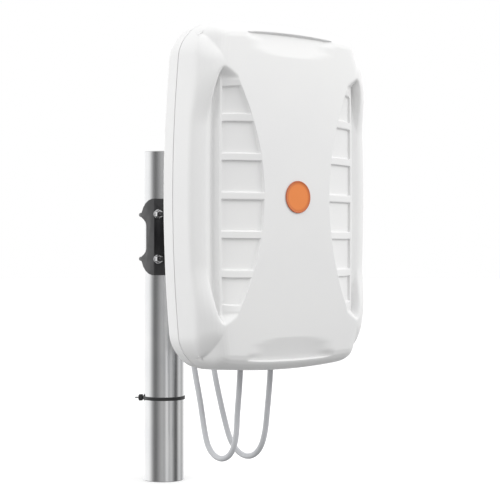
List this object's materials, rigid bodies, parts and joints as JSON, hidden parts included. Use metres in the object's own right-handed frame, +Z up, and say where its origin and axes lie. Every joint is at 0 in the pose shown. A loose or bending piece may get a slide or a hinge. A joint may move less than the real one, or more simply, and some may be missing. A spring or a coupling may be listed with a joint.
{
  "type": "panel antenna",
  "caption": "Flat-panel directional antenna in a white moulded case, clamped to a steel mast section by a tilting bracket, with coax leads that end in connectors.",
  "frame": {"origin": "middle of the mast section's foot, on the mast's axis", "axes": "+Z up along the mast; the antenna's face looks along -Y; +X to the right of someone who looks at the face"},
  "size_m": [0.2904, 0.3402, 0.612],
  "materials": {
    "case_white": "satin, very fine moulded grain",
    "badge_orange": "glossy",
    "seal_grey": "matt",
    "mast_steel": "smooth drawn tube, soft reflections",
    "clamp_black": "black powder coat",
    "stainless": "bright",
    "sheet_aluminium": "rolled sheet",
    "board_green": "solder mask",
    "nylon_black": "moulded",
    "nylon_white": "moulded",
    "lead_grey": "smooth extruded jacket",
    "coax_brown": "smooth jacket",
    "nickel": "nickel plate"
  },
  "bodies": {
    "mast": {"mast_tube": "mast_steel"},
    "clamp": {"cable_tie": "nylon_black", "connector_body_left": "nickel", "connector_body_right": "nickel", "coupling_nut_left": "nickel", "coupling_nut_right": "nickel", "friction_washer_left": "nylon_black", "friction_washer_right": "nylon_black", "lead_clip": "nylon_black", "lead_clip_screw": "stainless", "lead_left": "lead_grey", "lead_right": "lead_grey", "mast_saddle": "clamp_black", "tilt_bolt": "stainless", "tilt_nut": "stainless", "u_bolt_lower": "clamp_black", "u_bolt_nut_lower_left": "stainless", "u_bolt_nut_lower_right": "stainless", "u_bolt_nut_upper_left": "stainless", "u_bolt_nut_upper_right": "stainless", "u_bolt_upper": "clamp_black"},
    "panel": {"backing_bar_left": "stainless", "backing_bar_right": "stainless", "badge_disc": "badge_orange", "cover_gasket": "seal_grey", "cover_screw_1": "stainless", "cover_screw_2": "stainless", "cover_screw_3": "stainless", "cover_screw_4": "stainless", "cover_screw_5": "stainless", "cover_screw_6": "stainless", "director_lower": "sheet_aluminium", "director_upper": "sheet_aluminium", "feed_board": "board_green", "feed_coax_left": "coax_brown", "feed_coax_right": "coax_brown", "front_radome": "case_white", "gland_body_left": "nylon_white", "gland_body_right": "nylon_white", "gland_dome_nut_left": "nylon_white", "gland_dome_nut_right": "nylon_white", "gland_lock_nut_left": "nylon_white", "gland_lock_nut_right": "nylon_white", "radiator_lower": "board_green", "radiator_upper": "board_green", "rear_cover": "case_white", "reflector_tray": "sheet_aluminium", "standoff_lower_above": "nylon_white", "standoff_lower_below": "nylon_white", "standoff_upper_above": "nylon_white", "standoff_upper_below": "nylon_white", "tilt_yoke": "clamp_black", "vent_plug": "nylon_white", "yoke_screw_1": "stainless", "yoke_screw_2": "stainless", "yoke_screw_3": "stainless", "yoke_screw_4": "stainless"}
  },
  "joints": [
    {"name": "azimuth_swivel", "type": "hinge", "parent": "mast", "child": "clamp", "pos_m": [0, 0, 0.3425], "axis": [0, 0, 1], "continuous": true},
    {"name": "panel_tilt", "type": "hinge", "parent": "clamp", "child": "panel", "pos_m": [0, -0.1, 0.3425], "axis": [1, 0, 0], "range_deg": [-15, 15], "deforming": ["lead_left", "lead_right"]}
  ]
}
